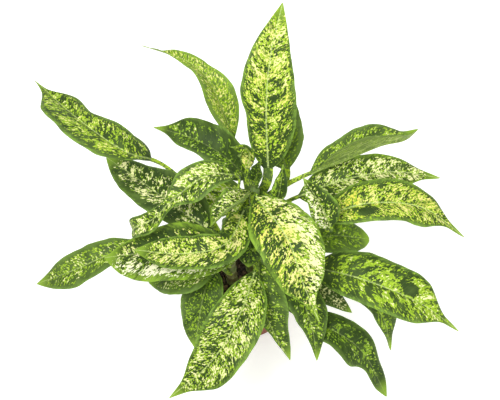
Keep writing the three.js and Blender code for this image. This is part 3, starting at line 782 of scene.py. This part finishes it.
def spline(points, places):
    """A smooth curve through the points, at the given shares of its length."""
    given = np.array(points, float)
    given = np.vstack([2 * given[0] - given[1], given, 2 * given[-1] - given[-2]])
    step = np.linspace(0, 1, CURVE_STEPS, endpoint=False)[:, None]
    pieces = []
    for before, first, second, after in zip(given, given[1:], given[2:], given[3:]):
        leave = (second - before) / 2
        arrive = (after - first) / 2
        square = -3 * first + 3 * second - 2 * leave - arrive
        cube = 2 * first - 2 * second + leave + arrive
        pieces.append(first + leave * step + square * step ** 2 + cube * step ** 3)
    pieces.append(given[-2:-1])
    return along_line(np.vstack(pieces), places)


def frames(points, start):
    """Tangents along a line and normals carried along it from a starting direction."""
    padded = np.vstack([points[:1], points, points[-1:]])
    tangents = unit(padded[2:] - padded[:-2])
    carried = np.array(start, float)
    normals = []
    for tangent in tangents:
        carried = unit(carried - (carried @ tangent) * tangent)
        normals.append(carried)
    return tangents, np.array(normals)


def ring_faces(rings, sides):
    """Faces between rings of points, then both ends closed by fans round the two last points."""
    faces = []
    for k in range(rings - 1):
        for i in range(sides):
            j = (i + 1) % sides
            faces.append((k * sides + i, k * sides + j, (k + 1) * sides + j, (k + 1) * sides + i))
    foot = rings * sides
    last = foot - sides
    for i in range(sides):
        j = (i + 1) % sides
        faces.append((foot, j, i))
        faces.append((foot + 1, last + i, last + j))
    return faces


def new_mesh(name, points, faces, *materials, rounded=True):
    """A mesh in metres."""
    mesh = bpy.data.meshes.new(name)
    mesh.from_pydata((np.asarray(points) * MM).tolist(), [], faces)
    for material in materials:
        mesh.materials.append(material)
    mesh.polygons.foreach_set("use_smooth", np.full(len(mesh.polygons), rounded))
    return mesh


def corner_points(mesh):
    """The point at each face corner."""
    points = np.empty(len(mesh.loops), np.int32)
    mesh.loops.foreach_get("vertex_index", points)
    return points


def add_map(mesh, name, values):
    """A map with two numbers for each face corner."""
    mesh.uv_layers.new(name=name).data.foreach_set("uv", np.asarray(values, float).ravel())


def add_attribute(mesh, name, values):
    """One number for each point."""
    layer = mesh.attributes.new(name, "FLOAT", "POINT")
    layer.data.foreach_set("value", np.asarray(values, np.float32))


# Canes

def cane_line(name):
    return spline(CANES[name][0], np.linspace(0, 1, CANE_RINGS))


def cane_radius(name, along):
    foot, top = CANES[name][1]
    return foot + along * (top - foot)


def cane_at(name, height):
    """Centre, direction and radius of a cane at a height."""
    line = cane_line(name)
    index = int(np.clip(np.searchsorted(line[:, 2], height), 1, len(line) - 1))
    step = line[index] - line[index - 1]
    centre = line[index - 1] + (height - line[index - 1, 2]) / step[2] * step
    along = (height - line[0, 2]) / (line[-1, 2] - line[0, 2])
    return centre, unit(step), cane_radius(name, along)


def cane_bake_map():
    """Places in the bake map for the corners of a cane's faces, in their order."""
    places = [((column + 0.5) / (CANE_SIDES + 1), 0.02 + 0.8 * row / CANE_RINGS)
              for k in range(CANE_RINGS - 1) for i in range(CANE_SIDES)
              for column, row in ((i, k), (i + 1, k), (i + 1, k + 1), (i, k + 1))]
    for i in range(CANE_SIDES):
        for middle, pair in ((0.25, (i + 1, i)), (0.75, (i, i + 1))):
            places.append((middle, 0.92))
            for corner in pair:
                angle = 2 * math.pi * corner / CANE_SIDES
                places.append((middle + 0.06 * math.cos(angle), 0.92 + 0.06 * math.sin(angle)))
    return places


def make_cane(name, material):
    line = cane_line(name)
    height = line[:, 2]
    tangents = frames(line, (0, 0, 1))[0]
    sides = unit(np.cross(np.broadcast_to((0, 1, 0), tangents.shape), tangents))
    fronts = np.cross(tangents, sides)
    turn = round_turn(CANE_SIDES)
    along = (height - height[0]) / (height[-1] - height[0])
    wander = CANE_WANDER * np.sin(height * 0.11)[:, None] * np.cos(2 * turn + 1.3)
    reach = cane_radius(name, along)[:, None] + wander

    # Each leaf scar runs slantwise round the cane, with a small flare under it
    marks = np.zeros((CANE_RINGS, CANE_SIDES))
    top = CANES[name][0][-1][2]
    for number, scar in enumerate(np.arange(FIRST_SCAR, top - LAST_SCAR_GAP, SCAR_SPACING)):
        slant = scar + SCAR_SLANT * np.cos(turn + SCAR_TURN * number)
        below = slant - height[:, None]
        reach = reach + SCAR_FLARE * np.exp(-np.maximum(below, 0) / FLARE_LENGTH) * (below > -FLARE_LIP)
        marks = np.maximum(marks, np.exp(-(below / (SCAR_LENGTH / 2)) ** 2))
    points = (line[:, None] + sides[:, None] * (reach * np.cos(turn))[..., None]
              + fronts[:, None] * (reach * np.sin(turn))[..., None]).reshape(-1, 3)
    points = np.vstack([points, line[0], line[-1] + tangents[-1] * CANE_DOME])
    mesh = new_mesh(f"cane_{name}_bark", points, ring_faces(CANE_RINGS, CANE_SIDES), material)
    add_map(mesh, "OFBake", cane_bake_map())
    heights = np.concatenate([np.repeat(height, CANE_SIDES), [0, height[-1]]]) * MM
    add_map(mesh, "cane", np.stack([heights, np.zeros_like(heights)], axis=1)[corner_points(mesh)])
    add_attribute(mesh, "scar", np.concatenate([marks.ravel(), [0, 0]]))
    piece = add_object(f"cane_{name}_bark", mesh)
    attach(piece, "root")
    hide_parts(f"cane_{name}")


# Leaves

def outline(share, ends):
    base, tip = ends
    widest = base / (base + tip)
    return (share / widest) ** base * ((1 - share) / (1 - widest)) ** tip


def trim(values, share):
    """A half's width at a share of the length, going smoothly between the five given ones."""
    place = np.clip((share - FIRST_WIDTH) / WIDTH_STEP, 0, len(values) - 1)
    index = np.minimum(place.astype(int), len(values) - 2)
    values = np.array(values, float)
    part = smooth(place - index, 0, 1)
    return values[index] * (1 - part) + values[index + 1] * part


def blade_section(leaf, share, across):
    """Sideways and upward place on the blade, and its half-width, in the rib's frame."""
    side = (across > 0).astype(int)
    fold, curl = (np.radians(np.broadcast_to(pair, 2))[side] for pair in (leaf.fold, leaf.curl))
    cut = np.where(side == 0, trim(leaf.left, share), trim(leaf.right, share))
    least = leaf.stalk + share * (TIP_HALF_WIDTH - leaf.stalk)
    slow, quick = EDGE_RATES
    unevenness = np.sin(slow * share + leaf.width) + np.sin(quick * share + 2 * side + leaf.node)
    width = leaf.width * outline(share, leaf.ends) * cut * (1 + EDGE_UNEVEN * unevenness)
    half = np.hypot(width / 2, least)
    bend = 2 * curl / half
    start = fold + curl
    end = start - bend * half * np.abs(across)
    turn = 2 * math.pi * leaf.waves * share + leaf.phase + side * RIGHT_WAVE_SHIFT
    wave = leaf.wave * across ** 2 * np.sin(turn) * np.sin(math.pi * share) ** WAVE_FADE
    lateral = np.sign(across) * (np.sin(start) - np.sin(end)) / bend
    return lateral, (np.cos(end) - np.cos(start)) / bend + wave, half


def petiole_section(leaf, share, across):
    """Sideways and upward place on a petiole's upper face, and its depth, from its foot to its tip."""
    swell = 1 - smooth(share, 0, SHEATH_SHARE)
    tips = (leaf.stalk, *PETIOLE_TIP)
    half, channel, depth = (tip + swell * (foot - tip) for tip, foot in zip(tips, SHEATH_FOOT))
    hollow = channel * (1 - across ** 2)
    full = 1 + (depth - 1) * np.sqrt(np.maximum(1 - across ** 2, 0))
    return across * half, -hollow, full - hollow


def petiole_line(leaf, tip, tip_direction):
    """The petiole's middle line, from the blade back to the cane."""
    centre, direction, radius = cane_at(leaf.cane, leaf.node)
    out = tip - centre
    out = unit(out - (out @ direction) * direction)
    start = centre + out * (radius - PETIOLE_SINK)
    span = np.linalg.norm(tip - start)
    leave = (PETIOLE_RISE[0] * direction + PETIOLE_RISE[1] * out) * span * PETIOLE_PULL[0]
    arrive = tip_direction * span * PETIOLE_PULL[1]
    control = (start, start + leave, tip - arrive, tip)
    t = np.linspace(0, 1, PETIOLE_SAMPLES)[:, None]
    curve = sum(math.comb(3, k) * t ** k * (1 - t) ** (3 - k) * point for k, point in enumerate(control))
    return along_line(curve, np.linspace(1, 0, PETIOLE_ROWS + 1))


def leaf_rows(leaf, shares):
    """Places, forward and upward directions of the rows across a leaf, from its foot to its tip, and
    the length of its rib."""
    rib = spline(leaf.rib, np.linspace(0, 1, RIB_SAMPLES))
    tangents, normals = frames(rib, (0, 0, 1))
    roll = math.radians(leaf.roll)
    normals = normals * math.cos(roll) + np.cross(tangents, normals) * math.sin(roll)
    at = shares * (RIB_SAMPLES - 1)
    blade = [np.stack([np.interp(at, np.arange(RIB_SAMPLES), row[:, k]) for k in range(3)], axis=1)
             for row in (rib, tangents, normals)]
    petiole = petiole_line(leaf, rib[0], tangents[0])
    back, carried = frames(petiole, normals[0])
    stalk = (petiole[:0:-1], -back[:0:-1], carried[:0:-1])
    centres, forward, up = (np.vstack(pair) for pair in zip(stalk, blade))
    forward = unit(forward)
    up = unit(up - (up * forward).sum(axis=1, keepdims=True) * forward)
    return centres, forward, up, np.linalg.norm(np.diff(rib, axis=0), axis=1).sum()


def leaf_shell():
    """What all leaves share: the faces of the two sides and of the edge, the bake map's point at each
    face corner, and each face's material by its number."""
    count = LEAF_ROWS * COLUMNS
    index = np.arange(count).reshape(LEAF_ROWS, COLUMNS)
    quads = (index[:-1, :-1], index[:-1, 1:], index[1:, 1:], index[1:, :-1])
    upper = np.stack(quads, axis=-1).reshape(-1, 4)
    lower = upper[:, ::-1] + count
    rims = ((index[:-1, 0], index[1:, 0]), (index[1:, -1], index[:-1, -1]),
            (index[0, 1:], index[0, :-1]), (index[-1, :-1], index[-1, 1:]))
    edge = np.vstack([np.stack([a, b, b + count, a + count], axis=-1) for a, b in rims])
    on_petiole = upper[:, 0] // COLUMNS < PETIOLE_ROWS
    edge_on_petiole = edge[:, 0] // COLUMNS < PETIOLE_ROWS
    kinds = (np.where(on_petiole, 2, 0), np.where(on_petiole, 2, 1), np.where(edge_on_petiole, 2, 0))
    return np.vstack([upper, lower, edge]), np.vstack([upper, lower, edge % count]), np.concatenate(kinds)


def blade_shape(leaf, share, across, length):
    """Sideways and upward place, depth and vein map of the blade, with its relief."""
    lateral, lift, half = blade_section(leaf, share, across)
    distance = np.abs(across) * half
    vein = share * length - VEIN_SLOPE * distance - VEIN_BEND * distance ** 2

    # Relief: a groove over the midrib and a soft swelling between the side veins
    phase = 0.7 * len(leaf.rib) + leaf.width
    groove = RIB_GROOVE * (1 - share) * np.exp(-(distance / RIB_GROOVE_WIDTH) ** 2)
    quilt = QUILT_HEIGHT * np.sin(math.pi * vein / QUILT_SPACING + 0.3 * np.sin(vein * 0.05 + phase)) ** 2
    quilt *= smooth(distance, *QUILT_START) * (1 - smooth(np.abs(across), 0.7, 1))
    quilt *= smooth(1 - share, 0, 0.2)
    sway = EDGE_SWAY * np.sin(share * 9 + across * 2 + phase) * across ** 2 * smooth(share, 0, 0.3)
    lift = lift - groove + quilt + sway * smooth(1 - share, 0, 0.3)
    keel = RIB_KEEL * (1 - share) * np.exp(-(distance / RIB_KEEL_WIDTH) ** 2)
    depth = BLADE_THICKNESS + (MARGIN_THICKNESS - BLADE_THICKNESS) * np.abs(across) ** 3 + keel
    return (lateral, lift, depth), np.stack([vein, np.sign(across) * distance], axis=-1) / 10


def make_leaf(leaf, shell, materials):
    shares = np.linspace(0, LAST_ROW, BLADE_ROWS)
    stalk = np.linspace(0, 1, PETIOLE_ROWS + 1)[:-1]
    half_columns = np.linspace(0, 1, COLUMNS // 2 + 1) ** COLUMN_SPREAD
    columns = np.concatenate([-half_columns[:0:-1], half_columns])
    centres, forward, up, length = leaf_rows(leaf, shares)
    share, across = np.broadcast_arrays(shares[:, None], columns)
    blade, veins = blade_shape(leaf, share, across, length)
    petiole = petiole_section(leaf, stalk[:, None], np.broadcast_to(columns, (PETIOLE_ROWS, COLUMNS)))
    join = smooth(stalk, PETIOLE_JOIN, 1)[:, None]
    lateral, lift, depth = (np.vstack([low * (1 - join) + high[0] * join, high])[..., None]
                            for low, high in zip(petiole, blade))
    top = centres[:, None] + np.cross(forward, up)[:, None] * lateral + up[:, None] * lift
    normal = unit(np.cross(np.gradient(top, axis=1), np.gradient(top, axis=0)))
    points = np.concatenate([top, top - normal * depth]).reshape(-1, 3)

    faces, corners, kinds = shell
    name = f"{leaf.name}_blade"
    mesh = new_mesh(name, points, faces.tolist(), *materials)
    mesh.polygons.foreach_set("material_index", kinds.astype(np.int32))
    mesh.set_sharp_from_angle(angle=math.radians(SHARP_ANGLE))
    height = np.repeat(np.concatenate([stalk * 0.22, 0.22 + shares * 0.76]) + 0.01, COLUMNS)
    place = np.tile((columns + 1) * 0.23 + 0.01, LEAF_ROWS)
    bake = np.stack([np.concatenate([place, place + 0.5]), np.tile(height, 2)], axis=1)
    vein_map = np.concatenate([np.zeros((PETIOLE_ROWS, COLUMNS, 2)), veins]).reshape(-1, 2)
    along = np.repeat(np.concatenate([stalk - 1, shares]), COLUMNS)
    blade_map = np.stack([along, np.tile((columns + 1) / 2, LEAF_ROWS)], axis=1)
    add_map(mesh, "OFBake", bake[corners])
    plain = corner_points(mesh) % (LEAF_ROWS * COLUMNS)
    add_map(mesh, "veins", vein_map[plain])
    add_map(mesh, "blade", blade_map[plain])
    piece = add_object(name, mesh)
    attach(piece, "root")
    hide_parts(leaf.name)


# Pot, soil and floor

def outer_radius(height):
    return BASE_RADIUS + (RIM_RADIUS - BAND_STEP - BASE_RADIUS) * height / POT_HEIGHT


def inner_radius(height):
    return outer_radius(height) - POT_WALL


def pot_profile():
    """The pot's half section as radius and height, from the recess below up and over the lip."""
    band = POT_HEIGHT - BAND_HEIGHT
    inner = RIM_RADIUS - POT_WALL - LIP_STEP
    round_off = (POT_WALL + LIP_STEP) / 2
    lip = RIM_RADIUS - round_off
    bevel = POT_EDGE / 3
    profile = [(RECESS_INNER, 0), (RECESS_INNER + 1, RECESS_DEPTH), (RECESS_OUTER, RECESS_DEPTH),
               (RECESS_OUTER + 1, 0), (BASE_RADIUS - POT_EDGE, 0), (BASE_RADIUS - bevel, bevel),
               (BASE_RADIUS, POT_EDGE)]
    profile += [(outer_radius(h), h) for h in np.linspace(4, band - 3, 18)]
    profile += [(outer_radius(band - 1) + 0.2, band - 1.4), (RIM_RADIUS - POT_EDGE, band - bevel),
                (RIM_RADIUS, band + 2 * bevel)]
    profile += [(RIM_RADIUS, h) for h in np.linspace(band + 2, POT_HEIGHT - 2.4, 5)]
    profile += [(lip + round_off * math.cos(a), POT_HEIGHT - round_off + round_off * math.sin(a))
                for a in np.radians(range(0, 181, 30))]
    profile += [(inner, POT_HEIGHT - 4), (inner, band + 4), (inner_radius(band), band + 1)]
    profile += [(inner_radius(h), h) for h in np.linspace(band - 6, FLOOR_TOP + 1, 8)]
    profile += [(inner_radius(FLOOR_TOP) - 1, FLOOR_TOP)]
    return np.array(profile)


def pot_cuts():
    """Drain holes in the recess and, between them, notches in the foot ring."""
    cutter = bmesh.new()
    middle = (RECESS_INNER + RECESS_OUTER + 1) / 2
    radius = DRAIN_RADIUS * MM
    notch_size = Vector((2 * (BASE_RADIUS - RECESS_OUTER), NOTCH_WIDTH, 2 * RECESS_DEPTH)) * MM
    for i in range(DRAIN_HOLES):
        angle = 2 * math.pi * i / DRAIN_HOLES
        drain = bmesh.ops.create_cone(cutter, cap_ends=True, segments=24, radius1=radius, radius2=radius,
                                      depth=3 * FLOOR_TOP * MM)
        shift = Vector((middle * math.cos(angle), middle * math.sin(angle), 0)) * MM
        bmesh.ops.translate(cutter, verts=drain["verts"], vec=shift)
        angle += math.pi / DRAIN_HOLES
        notch = bmesh.ops.create_cube(cutter, size=1)
        bmesh.ops.scale(cutter, verts=notch["verts"], vec=notch_size)
        shift = Vector((BASE_RADIUS * MM, 0, 0))
        bmesh.ops.translate(cutter, verts=notch["verts"], vec=shift)
        bmesh.ops.rotate(cutter, verts=notch["verts"], matrix=Matrix.Rotation(angle, 3, "Z"))
    mesh = bpy.data.meshes.new("pot_cuts")
    cutter.to_mesh(mesh)
    cutter.free()
    return add_object("pot_cuts", mesh)


def make_pot(material):
    turn = round_turn(POT_SIDES)
    radius, height = pot_profile().T[..., None]
    points = np.stack(np.broadcast_arrays(radius * np.cos(turn), radius * np.sin(turn), height), axis=-1)
    points = np.vstack([points.reshape(-1, 3), (0, 0, 0), (0, 0, FLOOR_TOP)])
    pot = add_object("pot_shell", new_mesh("pot_shell", points, ring_faces(len(radius), POT_SIDES)))
    cuts = pot_cuts()
    cut = pot.modifiers.new("holes", "BOOLEAN")
    cut.object = cuts
    cut.operation = "DIFFERENCE"
    cut.solver = "EXACT"
    graph = bpy.context.evaluated_depsgraph_get()
    finished = bpy.data.meshes.new_from_object(pot.evaluated_get(graph))
    pot.modifiers.clear()
    pot.data = finished
    bpy.data.objects.remove(cuts)
    finished.materials.clear()
    finished.materials.append(material)
    finished.polygons.foreach_set("use_smooth", np.full(len(finished.polygons), True))
    finished.set_sharp_from_angle(angle=math.radians(POT_SHARP))
    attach(pot, "root")
    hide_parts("pot")


def soil_height(x, y):
    """Height of the soil's top at a place, in millimetres."""
    share = min(math.hypot(x, y) / inner_radius(SOIL_TOP), 1)
    rise = SOIL_TOP - SOIL_EDGE_DROP * share ** 3
    broad = math.sin(0.31 * x + 0.12 * y) * math.cos(0.27 * y - 0.1 * x) + 0.5 * math.sin(0.63 * x - 0.5 * y)
    lumps = noise.fractal(Vector((x, y, 0)) * LUMP_DENSITY, 0.6, 2.1, 4)
    return rise + SOIL_ROUGHNESS * broad * (1 - share ** 6) + SOIL_LUMPS * lumps * (1 - share ** 12)


def make_soil(material):
    foot = FLOOR_TOP + SOIL_GAP
    wall = inner_radius(SOIL_TOP - SOIL_EDGE_DROP) - SOIL_GAP
    inward, upward = SOIL_BEVEL
    rings = [(inner_radius(foot) - SOIL_GAP - inward, foot),
             (inner_radius(foot + upward) - SOIL_GAP, foot + upward), (wall, SOIL_TOP - SOIL_EDGE_DROP)]
    turn = round_turn(SOIL_SIDES)
    points = [(r * math.cos(a), r * math.sin(a), z) for r, z in rings for a in turn]
    for k in range(1, SOIL_RINGS):
        radius = wall * (1 - k / SOIL_RINGS)
        for a in turn:
            x, y = radius * math.cos(a), radius * math.sin(a)
            points.append((x, y, soil_height(x, y)))
    points += [(0, 0, foot), (0, 0, soil_height(0, 0))]
    faces = ring_faces(len(rings) + SOIL_RINGS - 1, SOIL_SIDES)
    soil = add_object("soil_bed", new_mesh("soil_bed", points, faces, material))
    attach(soil, "root")
    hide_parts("soil")


def make_chips(material):
    """Bark chips and crumbs lying on the soil, each an uneven block."""
    draw = random.Random(CHIP_SEED)
    edge = inner_radius(SOIL_TOP) - CHIP_EDGE_GAP
    block = np.array([(x, y, z) for z in (-0.5, 0.5) for x, y in SQUARE])
    sides = [(0, 3, 2, 1), (4, 5, 6, 7), (0, 1, 5, 4), (1, 2, 6, 5), (2, 3, 7, 6), (3, 0, 4, 7)]
    points, faces, tones = [], [], []
    canes = [line[1][:2] for line, _ in CANES.values()]
    for _ in range(CHIPS):
        radius = edge * math.sqrt(draw.random())
        angle = draw.uniform(0, 2 * math.pi)
        x, y = radius * math.cos(angle), radius * math.sin(angle)
        if any(math.hypot(x - a, y - b) < CHIP_CANE_GAP for a, b in canes):
            continue
        length = draw.uniform(*CHIP_LENGTH) * draw.uniform(*CHIP_SHORTENED)
        size = np.array((length, length * draw.uniform(*CHIP_WIDTH), length * draw.uniform(*CHIP_HEIGHT)))
        corners = block * size * np.array([[draw.uniform(*CHIP_CORNER) for _ in range(3)] for _ in range(8)])
        turn = draw.uniform(0, 2 * math.pi)
        lean = draw.uniform(-CHIP_LEAN, CHIP_LEAN)
        roll = draw.uniform(-CHIP_ROLL, CHIP_ROLL)
        spin = np.array(Matrix.Rotation(turn, 3, "Z"))
        tip = np.array([(1, 0, lean), (0, 1, roll), (-lean, -roll, 1)])
        start = len(points)
        points.extend(corners @ tip.T @ spin.T + (x, y, soil_height(x, y) + size[2] * CHIP_REST))
        faces.extend([tuple(start + corner for corner in side) for side in sides])
        tones.extend([draw.random() ** 2] * 8)
    mesh = new_mesh("soil_chips", points, faces, material, rounded=False)
    add_attribute(mesh, "tone", tones)
    chips = add_object("soil_chips", mesh)
    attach(chips, "root")


def make_floor():
    mesh = bpy.data.meshes.new("floor")
    mesh.from_pydata([(x * FLOOR_SIDE, y * FLOOR_SIDE, 0) for x, y in SQUARE], [], [(0, 1, 2, 3)])
    mesh.materials.append(floor_material())
    floor = add_object("floor", mesh)


make_camera()
make_room()
make_floor()
make_pot(pot_material())
make_soil(soil_material())
make_chips(chip_material())
bark = cane_material()
for cane_name in CANES:
    make_cane(cane_name, bark)
leaf_pattern = make_pattern()
stalk_surface = petiole_material()
leaf_faces = leaf_shell()
for number, row in enumerate(LEAVES):
    row_marks = (*MARKS[row.name], *PATCHES.get(row.name, NO_PATCH), SEED_STEP * number)
    face = face_material(f"{row.name}_face", leaf_pattern, row_marks)
    underside = under_material(f"{row.name}_underside", leaf_pattern, row_marks)
    make_leaf(row, leaf_faces, (face, underside, stalk_surface))
